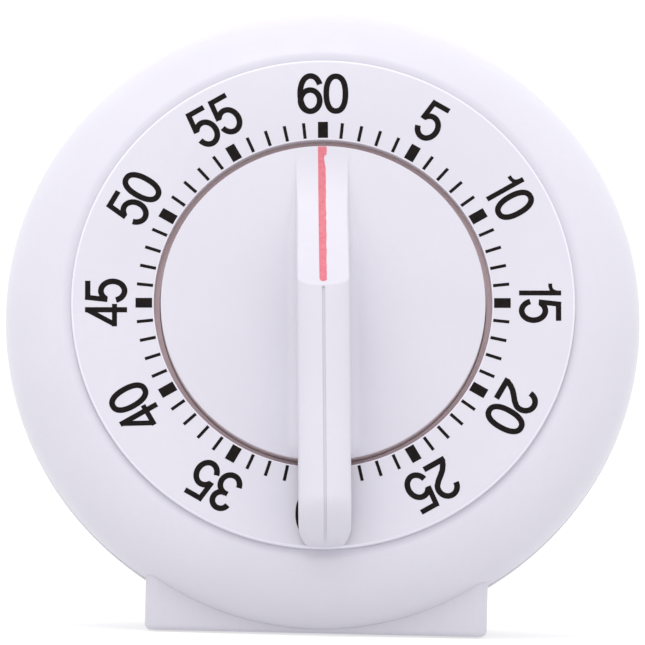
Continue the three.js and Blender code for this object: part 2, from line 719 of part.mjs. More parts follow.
// The anchor and fork, drawn about the pallet arbor with the escape wheel along +x.
function palletLever() {
  const wheelAt = Math.hypot(AT.escape[0] - AT.pallet[0], AT.escape[1] - AT.pallet[1]);
  const toWheel = direction(AT.pallet, AT.escape);
  const fork = direction(AT.pallet, AT.balance) - toWheel;
  const clear = ESCAPE.radius + 0.85;
  const pallet = (side) => [
    wheelAt + clear * Math.cos((180 - side * 48) * DEGREE),
    clear * Math.sin((180 - side * 48) * DEGREE),
  ];
  const arm = (side) => link([[0, 0], [0.7, side * 3.4], pallet(side)], 0.7, ESCAPE.bottom, ESCAPE.top);
  const tail = polar(6.1, fork);
  const prongs = [-14, 14].map((spread) =>
    link([tail, [tail[0] + 0.9 * Math.cos((fork + spread * 3) * DEGREE),
      tail[1] + 0.9 * Math.sin((fork + spread * 3) * DEGREE)]], 0.4, ESCAPE.bottom, ESCAPE.top));
  const body = join(
    rod(1.2, ESCAPE.bottom, ESCAPE.top, 16),
    arm(1),
    arm(-1),
    link([[0, 0], tail], 0.7, ESCAPE.bottom, ESCAPE.top),
    ...prongs,
  );
  return cut(body, rod(PIVOT_HOLE, ESCAPE.bottom - 1, ESCAPE.top + 1, 10));
}

const plainArbor = (foot = PLATE.backBottom + 0.1) => rod(PIVOT_R, foot, PLATE.frontTop - 0.1, 10);

// The balance staff carries the roller that the fork drives.
const balanceStaff = () => join(plainArbor(), rod(1.2, ESCAPE.bottom, ESCAPE.top, 14));

function balanceWheel() {
  const bottom = -9.6;
  const top = -8.6;
  const hub = prism(circle(6.3, 40), bottom, top, [
    circle(PIVOT_HOLE, 10),
    ...windows(1.5, 5.3, 2, 1.1, 12),
  ]);
  return hub;
}

const hairspring = () => spiral(0.95, 3.4, 3.5, 0.1, -8, -7.5, 12);
const STUD_AT = [AT.balance[0] + polar(3.95, -60)[0], AT.balance[1] + polar(3.95, -60)[1]];
const hairspringStud = () => rod(0.36, -8.1, PLATE.frontTop - 0.1, 8);

// ---------------------------------------------------------------- strike

const strikeWheel = () =>
  prism(sawOutline(STRIKE.teeth, STRIKE.radius, 1.3, 0.5), STRIKE.bottom, STRIKE.top, [
    circle(PIVOT_HOLE, 10),
  ]);

const hammerArbor = () => rod(PIVOT_R, HAMMER.bottom - 0.3, PLATE.frontTop - 0.1, 10);

// The anchor that the strike wheel kicks to and fro, drawn with that wheel along +x.
function hammerAnchor() {
  const wheelAt = Math.hypot(AT.strike[0] - AT.hammer[0], AT.strike[1] - AT.hammer[1]);
  const clear = STRIKE.radius + 1.45;
  const tip = (side) => [
    wheelAt + clear * Math.cos((180 - side * 40) * DEGREE),
    clear * Math.sin((180 - side * 40) * DEGREE),
  ];
  const arm = (side) => link([[0, 0], [1.6, side * 3.2], tip(side)], 0.8, STRIKE.bottom, STRIKE.top);
  return cut(
    join(rod(1.4, STRIKE.bottom, STRIKE.top, 16), arm(1), arm(-1)),
    rod(PIVOT_HOLE, STRIKE.bottom - 1, STRIKE.top + 1, 10),
  );
}

// The hammer's arm and head, behind the back plate and inside the bell.
const HEAD_OFFSET = [-1.15, -6.15];
function hammerArm() {
  const body = join(
    rod(1.4, HAMMER.bottom, HAMMER.top, 16),
    link([[0, 0], HEAD_OFFSET], 1.1, HAMMER.bottom, HAMMER.top),
  );
  return cut(
    body,
    rod(PIVOT_HOLE, HAMMER.bottom - 1, HAMMER.top + 1, 10),
    rod(0.75, HAMMER.bottom - 1, HAMMER.top + 1, 12, HEAD_OFFSET),
  );
}

function hammerHead() {
  return join(
    rod(HAMMER.head, HAMMER.bottom - 2.2, HAMMER.bottom - 0.1, 18),
    rod(0.6, HAMMER.bottom - 0.3, HAMMER.top + 0.1, 12),
  );
}

// A finger on the hammer arbor that the release lever holds still.
function hammerStop() {
  const body = join(
    rod(1.3, CAM.bottom, CAM.top, 14),
    link([[0, 0], [-1.1, -2.6]], 0.8, CAM.bottom, CAM.top),
  );
  return cut(body, rod(PIVOT_HOLE, CAM.bottom - 1, CAM.top + 1, 10));
}

// The two-armed lever between the cam and the hammer, drawn about its post.
function releaseLever() {
  const local = ([x, y]) => [x - AT.release[0], y - AT.release[1]];
  const follower = local(polar(CAM.radius + 0.75, CAM.notch));
  const catchArm = local([AT.hammer[0] - 0.6, AT.hammer[1] - 4.1]);
  const body = join(
    rod(1.5, CAM.bottom, CAM.top, 16),
    link([[0, 0], follower], 0.9, CAM.bottom, CAM.top),
    link([[0, 0], catchArm], 0.9, CAM.bottom, CAM.top),
  );
  return cut(body, rod(0.72, CAM.bottom - 1, CAM.top + 1, 12));
}

const releasePost = () =>
  join(rod(0.6, CAM.bottom - 0.5, PLATE.frontTop - 0.1, 12), rod(1.2, CAM.bottom - 0.6, CAM.bottom - 0.15, 14));

// A wire spring round a peg of the front plate that presses the release lever on the cam.
function releaseSpring() {
  const start = [AT.release[0] - 4.6, AT.release[1] - 6.2];
  const touch = [AT.release[0] - 2.6, AT.release[1] - 0.55];
  return join(
    rod(0.5, CAM.bottom, PLATE.frontBottom - 0.1, 10, start),
    link([start, [start[0] + 0.2, start[1] + 3], touch], 0.35, CAM.bottom + 0.2, CAM.top),
  );
}

function bell() {
  const { radius, thick, rim, base, round } = BELL;
  const outside = arc([radius - round, base + round], round, 0, -90, 4);
  const inside = arc([radius - round, base + round], round - thick, -90, 0, 4);
  return turned(
    [
      [radius, rim],
      ...outside,
      [1.75, base],
      [1.75, base + thick],
      ...inside,
      [radius - thick, rim],
    ],
    32,
  );
}

// The post that carries the bell: a flange on the back plate, a stem and a threaded tip.
function bellPost() {
  const seat = PLATE.backBottom - 0.15;
  const pegs = [30, 150, 270].map((a) => rod(0.5, seat - 0.3, PLATE.backTop - 0.1, 8, polar(5.6, a)));
  return join(
    turned(
      [
        [0, seat],
        [7, seat],
        [7, seat - 0.9],
        [2.4, seat - 0.9],
        [2.4, BELL.base + BELL.thick + 0.15],
        [1.5, BELL.base + BELL.thick + 0.15],
        [1.5, BELL.base - 1.3],
        [0, BELL.base - 1.3],
      ],
      20,
    ),
    ...pegs,
  );
}

const bellNut = () =>
  cut(
    rod(2.9, BELL.base - 1.2, BELL.base - 0.15, 6),
    rod(1.62, BELL.base - 3, BELL.base + 1, 16),
  );

// ---------------------------------------------------------------- assembly

function piece(name, solid, material, parent, [x, y] = [0, 0], turn = 0) {
  const mesh = new THREE.Mesh(geometryOf(solid), material);
  mesh.name = name;
  mesh.position.set(x, y, 0);
  mesh.rotation.z = turn;
  parent.add(mesh);
  return mesh;
}

// A group that stands on an arbor, so that what it carries is drawn about the arbor's axis.
function arborGroup([x, y], turn = 0) {
  const group = new THREE.Group();
  group.position.set(x, y, 0);
  group.rotation.z = turn;
  dial.add(group);
  return group;
}

function addCase() {
  piece("front_housing", frontHousing(), WHITE, dial);
  piece("rear_housing", rearHousing(), WHITE, dial);
  piece("dial_plate", dialPlate(), WHITE, dial);
  ["top", "left", "right"].forEach((side, i) =>
    piece(`case_screw_${side}`, caseScrew(), STEEL, dial, polar(BOSS.at, BOSS.angles[i])));
  PLATE_SCREW.angles.forEach((a, i) =>
    piece(`movement_screw_${i + 1}`, movementScrew(), STEEL, dial, polar(PLATE_SCREW.at, a), a * DEGREE));
}

function addFrame() {
  piece("front_plate", frontPlate(), BRASS, dial);
  piece("back_plate", backPlate(), BRASS, dial);
  PILLAR.angles.forEach((a, i) => {
    const at = polar(PILLAR.at, a);
    piece(`pillar_${i + 1}`, pillar(), STEEL, dial, at);
    piece(`pillar_screw_${i + 1}`, pillarScrew(), STEEL, dial, at, a * DEGREE);
  });
  piece("stop_pin", stopPin(), STEEL, dial, STOP_PIN_AT);
}

function addMainArbor() {
  piece("knob", knob(), WHITE, dial);
  piece("main_arbor", mainArbor(), STEEL, dial);
  piece("zero_cam", zeroCam(), BRASS, dial);
  piece("ratchet_wheel", ratchetWheel(), STEEL, dial);
  piece("great_wheel", greatWheel(), BRASS, dial);
  piece("click", click(), STEEL, dial, polar(CLICK.at, CLICK.angle));
  piece("click_stud", clickStud(), STEEL, dial, polar(CLICK.at, CLICK.angle));
  piece("click_spring", clickSpring(), SPRING, dial);
  piece("spring_barrel", springBarrel(), BRASS, dial);
  piece("barrel_cover", barrelCover(), BRASS, dial);
  piece("mainspring", mainspring(), SPRING, dial);
}

function addGoingTrain() {
  const origin = [0, 0];
  const secondTurn = meshed(0, GREAT.teeth, SECOND.leaves, direction(origin, AT.second));
  const thirdTurn = meshed(secondTurn, SECOND.teeth, THIRD.leaves, direction(AT.second, AT.third));
  const escapeTurn = meshed(thirdTurn, THIRD.teeth, ESCAPE.leaves, direction(AT.third, AT.escape));

  const second = arborGroup(AT.second, secondTurn);
  piece("second_pinion", pinionArbor(SECOND.leaves, GREAT.module, -3.6, -1.4), STEEL, second);
  piece("second_wheel", spokedWheel(SECOND, 1.9, 6.3, 4), BRASS, second);

  const third = arborGroup(AT.third, thirdTurn);
  piece("third_pinion", pinionArbor(THIRD.leaves, SECOND.module, -6.2, -4.4), STEEL, third);
  piece("third_wheel", spokedWheel(THIRD, 1.8, 5.2, 4), BRASS, third);

  const escape = arborGroup(AT.escape, escapeTurn);
  piece("escape_pinion", pinionArbor(ESCAPE.leaves, THIRD.module, -9, -7), STEEL, escape);
  piece("escape_wheel", escapeWheel(), BRASS, escape);

  const pallet = arborGroup(AT.pallet, direction(AT.pallet, AT.escape) * DEGREE);
  piece("pallet_arbor", plainArbor(), STEEL, pallet);
  piece("pallet_lever", palletLever(), STEEL, pallet);

  const balance = arborGroup(AT.balance);
  piece("balance_staff", balanceStaff(), STEEL, balance);
  piece("balance_wheel", balanceWheel(), BRASS, balance);
  piece("hairspring", hairspring(), SPRING, balance);
  piece("hairspring_stud", hairspringStud(), STEEL, dial, STUD_AT);
}

function addStrike() {
  const strikeTurn = meshed(0, BARREL.teeth, STRIKE.leaves, direction([0, 0], AT.strike));
  const strike = arborGroup(AT.strike, strikeTurn);
  piece("strike_pinion", pinionArbor(STRIKE.leaves, BARREL.module, -12, -10.2), STEEL, strike);
  piece("strike_wheel", strikeWheel(), BRASS, strike);

  const hammer = arborGroup(AT.hammer);
  piece("hammer_arbor", hammerArbor(), STEEL, hammer);
  const anchorTurn = direction(AT.hammer, AT.strike) * DEGREE;
  piece("hammer_anchor", hammerAnchor(), STEEL, hammer, [0, 0], anchorTurn);
  piece("hammer_stop", hammerStop(), STEEL, hammer);
  piece("hammer_arm", hammerArm(), STEEL, hammer);
  piece("hammer_head", hammerHead(), BRASS, hammer, HEAD_OFFSET);

  const release = arborGroup(AT.release);
  piece("release_lever", releaseLever(), STEEL, release);
  piece("release_post", releasePost(), STEEL, release);
  piece("release_spring", releaseSpring(), SPRING, dial);

  piece("bell", bell(), BELL_METAL, dial);
  piece("bell_post", bellPost(), STEEL, dial);
  piece("bell_nut", bellNut(), STEEL, dial);
}

addCase();
addFrame();
addMainArbor();
addGoingTrain();
addStrike();

const timer = new THREE.Group();
timer.name = "kitchen_timer";
timer.add(dial);

export default timer;
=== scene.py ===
"""A wind-up kitchen timer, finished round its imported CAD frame.

Shapes are drawn in millimetres in the dial frame: x to the right of the dial, y towards the
sixty mark and z out along the knob's axis. Each piece is placed in metres when it is done.
"""

import json
import math
import random

import bmesh
import bpy
from mathutils import Matrix, Vector
from mathutils.geometry import delaunay_2d_cdt


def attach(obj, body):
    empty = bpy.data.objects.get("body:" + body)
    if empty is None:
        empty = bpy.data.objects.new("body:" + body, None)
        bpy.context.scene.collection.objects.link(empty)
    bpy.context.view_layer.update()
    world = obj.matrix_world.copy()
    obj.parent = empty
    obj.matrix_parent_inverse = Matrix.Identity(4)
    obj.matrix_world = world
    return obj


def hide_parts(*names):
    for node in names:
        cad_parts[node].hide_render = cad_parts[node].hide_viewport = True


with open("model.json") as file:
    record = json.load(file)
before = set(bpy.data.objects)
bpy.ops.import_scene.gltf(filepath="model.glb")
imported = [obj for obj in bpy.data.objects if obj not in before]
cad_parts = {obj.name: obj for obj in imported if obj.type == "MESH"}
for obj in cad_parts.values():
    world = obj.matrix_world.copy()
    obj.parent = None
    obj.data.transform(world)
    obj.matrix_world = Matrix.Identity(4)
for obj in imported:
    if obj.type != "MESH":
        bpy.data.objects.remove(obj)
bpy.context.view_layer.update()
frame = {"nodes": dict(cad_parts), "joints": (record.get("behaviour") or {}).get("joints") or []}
NODES = frame["nodes"]

# ------------------------------------------- dimensions: the CAD's, with a closer fit round the knob

KNOB_JOINT = next(j for j in frame["joints"] if j["name"] == "knob_turn")
NORMAL = Vector(KNOB_JOINT["axis"]).normalized()
ACROSS = Vector((1, 0, 0))
UP = NORMAL.cross(ACROSS)
ORIGIN = Vector(KNOB_JOINT["pos_m"]) * 1000
DIAL = Matrix((ACROSS, UP, NORMAL)).transposed().to_4x4()
DIAL.translation = ORIGIN
LEAN = math.asin(NORMAL.z)
TO_METRES = Matrix.Scale(0.001, 4)

SIDES = 192
CASE_R, WALL, EDGE_R = 38, 2, 15
SHOULDER_AT, SHOULDER_R, SHOULDER_H = 26, 12, 9
SEAM, BACK, BACK_EDGE = -0.3, -24, 2.5
GAP = 0.3
FACE, SEAT = 9, 7.4
DIAL_IN, DIAL_OUT, DIAL_THICK = 20.18, 30.05, 1.3
DIAL_EDGE, DIAL_BORE_EDGE = 0.35, 0.12
PEG_AT, PEG_R, THIRDS = 25.5, 1, (30, 150, 270)
WELL_R, WELL_TOP, WELL_BOTTOM, WELL_HOLE, WELL_WALL = 19.47, 4.4, 3, 4.6, 1.5
MOVEMENT_SCREW_AT, HOLE_R = 14, 1.25
KNOB_R, KNOB_TOP, KNOB_SKIRT, KNOB_WALL, KNOB_EDGE = 19.38, 9.1, 6, 1.5, 0.15
GRIP_HALF, GRIP_TOP, GRIP_END, GRIP_UNDER = 3.1, 18.2, -30.1, 9.8
HUB_R, HUB_TOP, BORE_R, BORE_FLAT = 4.1, 12.6, 2.12, 1.42
FOOT_W, FOOT_D, FOOT_CORNER, FOOT_FLOOR, FOOT_WALL = 40.8, 36, 1.6, 1.8, 1.8
FOOT_STEP, FOOT_TOP, FOOT_SETBACK, FOOT_ROUND = 5, 17, 8, 0.7
BOSS_AT, BOSS_R, BOSS_ANGLES, BOSS_DROP = 28.6, 2.8, (90, 210, 330), 1.1
SCREW_SEAT, SCREW_HEAD_R, SCREW_SHANK_R, SCREW_TUBE_R = -13, 2.5, 1.4, 3.3
LIP_INSET, LIP_THICK, LIP_RISE = 0.55, 1.4, 1.8
SLOT_ROWS, SLOT_REACH, SLOT_HALF, SLOT_MOUTH = (-12, -6, 0, 6, 12), 17, 0.9, 0.3
ROLL = 1.3  # the print and the camera are both turned this many degrees against the foot
KNOB_TURN = 1.7  # where the knob has come to rest

# ------------------------------------------------------------------ mesh building


def polar(radius, degrees):
    return radius * math.cos(math.radians(degrees)), radius * math.sin(math.radians(degrees))


def arc(cx, cy, rx, ry, start, end, steps):
    """Points on an ellipse from one angle to another, in degrees."""
    angles = [math.radians(start + (end - start) * i / steps) for i in range(steps + 1)]
    return [(cx + rx * math.cos(a), cy + ry * math.sin(a)) for a in angles]


def solid(verts, faces):
    """A closed mesh object in the dial frame, with its faces turned outwards."""
    mesh = bpy.data.meshes.new("tool")
    mesh.from_pydata([tuple(v) for v in verts], [], faces)
    bm = bmesh.new()
    bm.from_mesh(mesh)
    bmesh.ops.recalc_face_normals(bm, faces=bm.faces)
    bm.to_mesh(mesh)
    bm.free()
    made = bpy.data.objects.new("tool", mesh)
    bpy.context.scene.collection.objects.link(made)
    return made


def ring_solid(profile, sides=SIDES, at=(0, 0)):
    """A profile of (radius, z) turned round the z axis. It closes on itself or on the axis."""
    verts, rings = [], []
    for radius, z in profile:
        count = 1 if radius < 1e-6 else sides
        rings.append([len(verts) + i for i in range(count)])
        for i in range(count):
            x, y = polar(radius, 360 * i / sides)
            verts.append((x + at[0], y + at[1], z))
    pairs = list(zip(rings, rings[1:]))
    if len(rings[0]) > 1 or len(rings[-1]) > 1:
        pairs.append((rings[-1], rings[0]))
    faces = []
    for a, b in pairs:
        for i in range(sides):
            j = (i + 1) % sides
            quad = [a[i % len(a)], a[j % len(a)], b[j % len(b)], b[i % len(b)]]
            face = [v for k, v in enumerate(quad) if v not in quad[:k]]
            if len(face) > 2:
                faces.append(face)
    return solid(verts, faces)


def rod(radius, bottom, top, sides=32, at=(0, 0)):
    return ring_solid([(0, bottom), (radius, bottom), (radius, top), (0, top)], sides, at)


def loft(sections):
    """A closed solid through rings of points that all have the same count."""
    count = len(sections[0])
    verts = [p for section in sections for p in section]
    faces = [list(range(count)), [len(verts) - count + i for i in range(count)]]
    for s in range(len(sections) - 1):
        for i in range(count):
            j = (i + 1) % count
            low, high = s * count, (s + 1) * count
            faces.append([low + i, low + j, high + j, high + i])
    return solid(verts, faces)


def prism(outline, bottom, top):
    return loft([[(x, y, z) for x, y in outline] for z in (bottom, top)])


def side_prism(outline, half):
    """A side view of (y, z) points, pulled out to half a width each way."""
    return loft([[(x, y, z) for y, z in outline] for x in (-half, half)])


def block(low, high):
    (x0, y0, z0), (x1, y1, z1) = low, high
    return prism([(x0, y0), (x1, y0), (x1, y1), (x0, y1)], z0, z1)


def combine(target, tool, operation):
    """Joins or cuts target with tool, which is used up."""
    modifier = target.modifiers.new("combine", "BOOLEAN")
    modifier.object, modifier.operation, modifier.solver = tool, operation, "EXACT"
    bpy.context.view_layer.update()
    shaped = target.evaluated_get(bpy.context.evaluated_depsgraph_get())
    mesh = bpy.data.meshes.new_from_object(shaped)
    target.modifiers.clear()
    target.data = mesh
    bpy.data.objects.remove(tool)
    return target


def join(target, *tools):
    for tool in tools:
        combine(target, tool, "UNION")
    return target


def cut(target, *tools):
    for tool in tools:
        combine(target, tool, "DIFFERENCE")
    return target


def gathered(tools):
    """Several tools that don't touch one another, as one object."""
    whole = tools[0]
    bm = bmesh.new()
    for tool in tools:
        bm.from_mesh(tool.data)
    bm.to_mesh(whole.data)
    bm.free()
    for tool in tools[1:]:
        bpy.data.objects.remove(tool)
    return whole


def finished(piece, name, body, material, replaces=None, sharp=32):
    """Cleans a piece, places it in metres, gives it its body and material, and hides the CAD part it
    replaces.
    """
    bm = bmesh.new()
    bm.from_mesh(piece.data)
    bmesh.ops.remove_doubles(bm, verts=bm.verts, dist=1e-4)
    bmesh.ops.dissolve_degenerate(bm, edges=bm.edges, dist=1e-4)
    bm.to_mesh(piece.data)
    bm.free()
    piece.data.transform(TO_METRES @ DIAL)
    piece.data.shade_smooth()
    piece.data.set_sharp_from_angle(angle=math.radians(sharp))
    piece.name = piece.data.name = name
    piece.data.materials.clear()
    piece.data.materials.append(material)
    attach(piece, body)
    if replaces:
        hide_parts(replaces)
    return piece


# ------------------------------------------------------------------ materials


def repaint(piece, material, chosen):
    """Give the faces picked by their radius and height in the dial's frame a second material."""
    piece.data.materials.append(material)
    to_dial = (TO_METRES @ DIAL).inverted()
    for face in piece.data.polygons:
        spot = to_dial @ face.center
        if chosen(math.hypot(spot.x, spot.y), spot.z):
            face.material_index = 1


class Nodes:
    """A small helper that writes one material's nodes."""

    def __init__(self, name):
        self.material = bpy.data.materials.new(name)
        self.material.use_nodes = True
        self.tree = self.material.node_tree
        self.shader = self.tree.nodes["Principled BSDF"]
        self.place = self.add("ShaderNodeTexCoord").outputs["Object"]

    def add(self, kind, **settings):
        node = self.tree.nodes.new(kind)
        for key, value in settings.items():
            setattr(node, key, value)
        return node

    def link(self, a, b):
        self.tree.links.new(a, b)

    def noise(self, size_mm, detail=2.0, roughness=0.5, stretch=None):
        """Noise whose features are about size_mm across."""
        node = self.add("ShaderNodeTexNoise")
        node.inputs["Scale"].default_value = 1000 / size_mm
        node.inputs["Detail"].default_value = detail
        node.inputs["Roughness"].default_value = roughness
        place = self.place
        if stretch:
            mapping = self.add("ShaderNodeMapping")
            mapping.inputs["Scale"].default_value = stretch
            self.link(place, mapping.inputs["Vector"])
            place = mapping.outputs["Vector"]
        self.link(place, node.inputs["Vector"])
        return node.outputs["Fac"]

    def ramp(self, value, low, high, to_low, to_high):
        node = self.add("ShaderNodeMapRange")
        for key, number in zip(("From Min", "From Max", "To Min", "To Max"),
                               (low, high, to_low, to_high)):
            node.inputs[key].default_value = number
        self.link(value, node.inputs["Value"])
        return node.outputs["Result"]

    def mix(self, factor, a, b):
        node = self.add("ShaderNodeMix", data_type="RGBA")
        self.link(factor, node.inputs["Factor"])
        for socket, value in ((node.inputs["A"], a), (node.inputs["B"], b)):
            if isinstance(value, tuple):
                socket.default_value = (*value, 1)
            else:
                self.link(value, socket)
        return node.outputs["Result"]

    def maths(self, operation, a, b):
        node = self.add("ShaderNodeMath", operation=operation)
        for socket, value in zip(node.inputs, (a, b)):
            if isinstance(value, (int, float)):
                socket.default_value = value
            else:
                self.link(value, socket)
        return node.outputs["Value"]

    def bump(self, heights, strength, distance_mm):
        node = self.add("ShaderNodeBump")
        node.inputs["Strength"].default_value = strength
        node.inputs["Distance"].default_value = distance_mm / 1000
        self.link(heights, node.inputs["Height"])
        self.link(node.outputs["Normal"], self.shader.inputs["Normal"])


def tinted(color, factor):
    return tuple(min(1.0, c * factor) for c in color)


def specks(nodes, spacing_mm, radius_mm, share):
    """1 inside a few small round spots scattered through the plastic, and 0 elsewhere."""
    cells = nodes.add("ShaderNodeTexVoronoi")
    cells.inputs["Scale"].default_value = 1000 / spacing_mm
    nodes.link(nodes.place, cells.inputs["Vector"])
    reach = radius_mm / spacing_mm
    near = nodes.ramp(cells.outputs["Distance"], reach * 0.6, reach, 1, 0)
    parts = nodes.add("ShaderNodeSeparateColor")
    nodes.link(cells.outputs["Color"], parts.inputs["Color"])
    chosen = nodes.maths("LESS_THAN", parts.outputs["Red"], share)
    return nodes.maths("MULTIPLY", near, chosen)


def moulded_plastic(name, color, roughness, spot_share=0.05):
    """White moulded plastic: faint clouding, a fine grain, uneven gloss and a few dark specks."""
    nodes = Nodes(name)
    cloud = nodes.ramp(nodes.noise(14, 3), 0.35, 0.65, 0, 1)
    body = nodes.mix(cloud, tinted(color, 0.982), tinted(color, 1.01))
    flow = nodes.ramp(nodes.noise(1.1, 4, 0.6), 0.4, 0.7, 0, 0.5)
    body = nodes.mix(flow, body, tinted(color, 0.975))
    spots = specks(nodes, 4.5, 0.13, spot_share)
    nodes.link(nodes.mix(spots, body, (0.24, 0.2, 0.2)), nodes.shader.inputs["Base Color"])
    gloss = nodes.ramp(nodes.noise(3, 4), 0.3, 0.7, roughness - 0.05, roughness + 0.05)
    nodes.link(gloss, nodes.shader.inputs["Roughness"])
    grain = nodes.maths("ADD", nodes.noise(0.22, 3), nodes.maths("MULTIPLY", nodes.noise(6, 2), 2.0))
    nodes.bump(grain, 0.12, 0.03)
    nodes.shader.inputs["Sheen Weight"].default_value = 0.22
    nodes.shader.inputs["Sheen Roughness"].default_value = 0.45
    return nodes.material


def printed_ink(name, color, roughness):
    """Pad-printed ink, a little uneven, with pinholes and a mottled colour."""
    nodes = Nodes(name)
    patch = nodes.ramp(nodes.noise(0.5, 4, 0.65), 0.4, 0.75, 0, 1)
    body = nodes.mix(patch, color, tinted(color, 1.7))
    holes = specks(nodes, 0.9, 0.07, 0.12)
    nodes.link(nodes.mix(holes, body, tinted(color, 4.0)), nodes.shader.inputs["Base Color"])
    nodes.link(nodes.ramp(patch, 0, 1, roughness, roughness + 0.15), nodes.shader.inputs["Roughness"])
    nodes.shader.inputs["Specular IOR Level"].default_value = 0.03
    nodes.bump(nodes.noise(0.12, 2), 0.15, 0.01)
    return nodes.material


def red_paint(name):
    """The pointer's paint: pinkish red, mottled, with a few dark flecks."""
    nodes = Nodes(name)
    patch = nodes.ramp(nodes.noise(0.45, 4, 0.7), 0.35, 0.7, 0, 1)
    body = nodes.mix(patch, (0.59, 0.148, 0.19), (0.52, 0.096, 0.135))
    flecks = specks(nodes, 0.8, 0.09, 0.2)
    nodes.link(nodes.mix(flecks, body, (0.36, 0.04, 0.06)), nodes.shader.inputs["Base Color"])
    nodes.link(nodes.ramp(patch, 0, 1, 0.4, 0.55), nodes.shader.inputs["Roughness"])
    nodes.bump(nodes.noise(0.25, 3), 0.3, 0.02)
    return nodes.material


def brushed_metal(name, color, roughness, grain_mm=0.12):
    """Rolled or turned metal: drawn-out scratches, a little tarnish and uneven gloss."""
    nodes = Nodes(name)
    nodes.shader.inputs["Metallic"].default_value = 1.0
    tarnish = nodes.ramp(nodes.noise(3.5, 4, 0.6), 0.35, 0.7, 0, 1)
    scratches = nodes.noise(grain_mm, 2, 0.5, stretch=(1.0, 0.06, 0.06))
    body = nodes.mix(tarnish, color, tinted(color, 0.8))
    body = nodes.mix(nodes.ramp(scratches, 0.45, 0.75, 0, 0.35), body, tinted(color, 1.15))
    nodes.link(body, nodes.shader.inputs["Base Color"])
    gloss = nodes.ramp(scratches, 0.3, 0.7, roughness - 0.07, roughness + 0.09)
    nodes.link(gloss, nodes.shader.inputs["Roughness"])
    nodes.bump(scratches, 0.25, 0.01)
    return nodes.material


WHITE = (0.572, 0.556, 0.626)
CASE_WHITE = moulded_plastic("case_white", WHITE, 0.42)
REAR_WHITE = moulded_plastic("rear_white", tinted(WHITE, 0.94), 0.45)
# Painted shade: a warm, brownish white that stands in for the shade in the narrow gap round the knob. It
# also has more dark specks than the case.
GAP_SHADE_WHITE = moulded_plastic("gap_painted_shade_white", (0.59, 0.465, 0.485), 0.6, 0.3)
# Painted highlight: a lighter white for the dial plate's rounded edges, where the light catches them.
EDGE_HIGHLIGHT_WHITE = moulded_plastic("dial_edge_painted_highlight", tinted(WHITE, 1.2), 0.4, 0.02)
DIAL_WHITE = moulded_plastic("dial_white", tinted(WHITE, 0.99), 0.40, 0.02)
KNOB_WHITE = moulded_plastic("knob_white", tinted(WHITE, 0.975), 0.38, 0.07)
INK = printed_ink("black_ink", (0.009, 0.007, 0.007), 0.55)
RED = red_paint("pointer_red")
BRASS = brushed_metal("rolled_brass", (0.72, 0.50, 0.20), 0.32)
STEEL = brushed_metal("turned_steel", (0.50, 0.51, 0.53), 0.34)
SPRING_STEEL = brushed_metal("blued_spring_steel", (0.16, 0.19, 0.25), 0.36)
NICKEL = brushed_metal("nickelled_bell", (0.70, 0.70, 0.71), 0.22, 0.3)

# ------------------------------------------------------------------ case


def boss_points():
    return [polar(BOSS_AT, a) for a in BOSS_ANGLES]


def front_housing():
    """The front shell: a low valley round the dial, the rounded rim, and the well inside."""
    lip = DIAL_OUT + 0.015
    valley_end = 32.2
    start = math.degrees(math.acos((valley_end - SHOULDER_AT) / SHOULDER_R))
    ceiling = SEAT - WALL
    inner_r, inner_h = SHOULDER_R - WALL, SHOULDER_H - WALL
    turn_in = math.degrees(math.asin(ceiling / inner_h))
    profile = [
        (WELL_HOLE, WELL_TOP), (WELL_R, WELL_TOP), (WELL_R, SEAT), (20.3, SEAT), (lip, SEAT),
        (lip, 8.06), (30.3, 8.08), (30.7, 8.1), (31.05, 8.11), (31.3, 8.07), (31.55, 7.98),
        (31.8, 7.88), (32.0, 7.795),
        *arc(SHOULDER_AT, 0, SHOULDER_R, SHOULDER_H, start, 0, 40),
        (CASE_R, SEAM + 0.16), (CASE_R - 0.06, SEAM + 0.1),
        (CASE_R - WALL, SEAM + 0.1),
        *arc(SHOULDER_AT, 0, inner_r, inner_h, 0, turn_in, 10),
        (WELL_R + WELL_WALL, ceiling), (WELL_R + WELL_WALL, WELL_BOTTOM), (WELL_HOLE, WELL_BOTTOM),
    ]
    shell = ring_solid(profile)
    bosses = [rod(BOSS_R, SEAM - BOSS_DROP, ceiling + 0.6, at=p) for p in boss_points()]
    join(shell, gathered(bosses))
    holes = [rod(HOLE_R, SEAM - 2, 2.6, at=p) for p in boss_points()]
    for a in THIRDS:
        holes.append(rod(HOLE_R, ceiling - 1, SEAT + 1, at=polar(PEG_AT, a)))
    for a in THIRDS:
        holes.append(rod(HOLE_R, WELL_BOTTOM - 1, WELL_TOP + 1, at=polar(MOVEMENT_SCREW_AT, a)))
    cut(shell, gathered(holes))
    finished(shell, "front_housing_shell", "case", CASE_WHITE, "front_housing")
    # Painted shade: the well's ledge and wall in the gap round the knob take the warm painted gap shade.
    repaint(shell, GAP_SHADE_WHITE, lambda r, z: 19.3 < r < 21 and 6.5 < z < SEAT + 0.1)


def foot_ring(z, inset, round_below):
    """One level of the foot's plan in the world frame, in millimetres."""
    half = FOOT_D / 2
    inward = inset
    if z < round_below:
        inward += round_below - math.sqrt(round_below**2 - (round_below - z) ** 2)
    slope = max(0.0, z - FOOT_STEP) * FOOT_SETBACK / (FOOT_TOP - FOOT_STEP)
    front, back = -half + inward, half - inward - slope
    w = FOOT_W / 2 - inward
    r = max(FOOT_CORNER - inward, 0.4)
    corners = [
        (w - r, back - r, 0), (r - w, back - r, 90),
        (r - w, front + r, 180), (w - r, front + r, 270),
    ]
    return [(x, y, z) for cx, cy, a in corners for x, y in arc(cx, cy, r, r, a, a + 90, 8)]


def in_dial_frame(piece):
    piece.data.transform(DIAL.inverted())
    return piece


